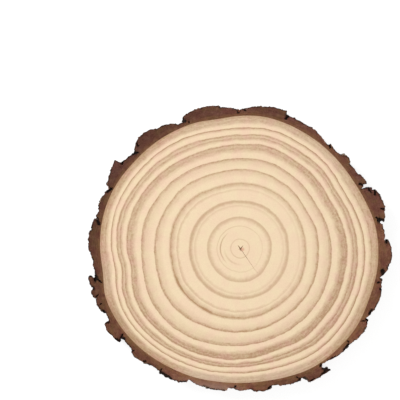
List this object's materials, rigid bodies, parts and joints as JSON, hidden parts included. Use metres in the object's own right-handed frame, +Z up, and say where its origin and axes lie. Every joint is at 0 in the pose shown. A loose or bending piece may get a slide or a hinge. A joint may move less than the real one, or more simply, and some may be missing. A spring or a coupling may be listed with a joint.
{
  "type": "wood slice",
  "caption": "Round slice cut straight across a trunk, with growth rings and a drying check on its flat cut faces and a rim of rough, furrowed bark.",
  "frame": {"origin": "on the surface that the slice lies on, under the middle of the slice's bounding box", "axes": "+Z up, square to the cut faces; +X along the slice's greatest width, to the right in the picture; +Y towards the top of the picture"},
  "size_m": [0.2401, 0.2261, 0.022],
  "materials": {
    "wood": "bare, fine-sanded cut face, matt, pale cream with tan growth rings",
    "bark": "rough, matt, reddish to grey brown bark, nearly black in its furrows"
  },
  "bodies": {
    "root": {"wood_disc": "wood", "bark_ring": "bark"}
  },
  "joints": []
}
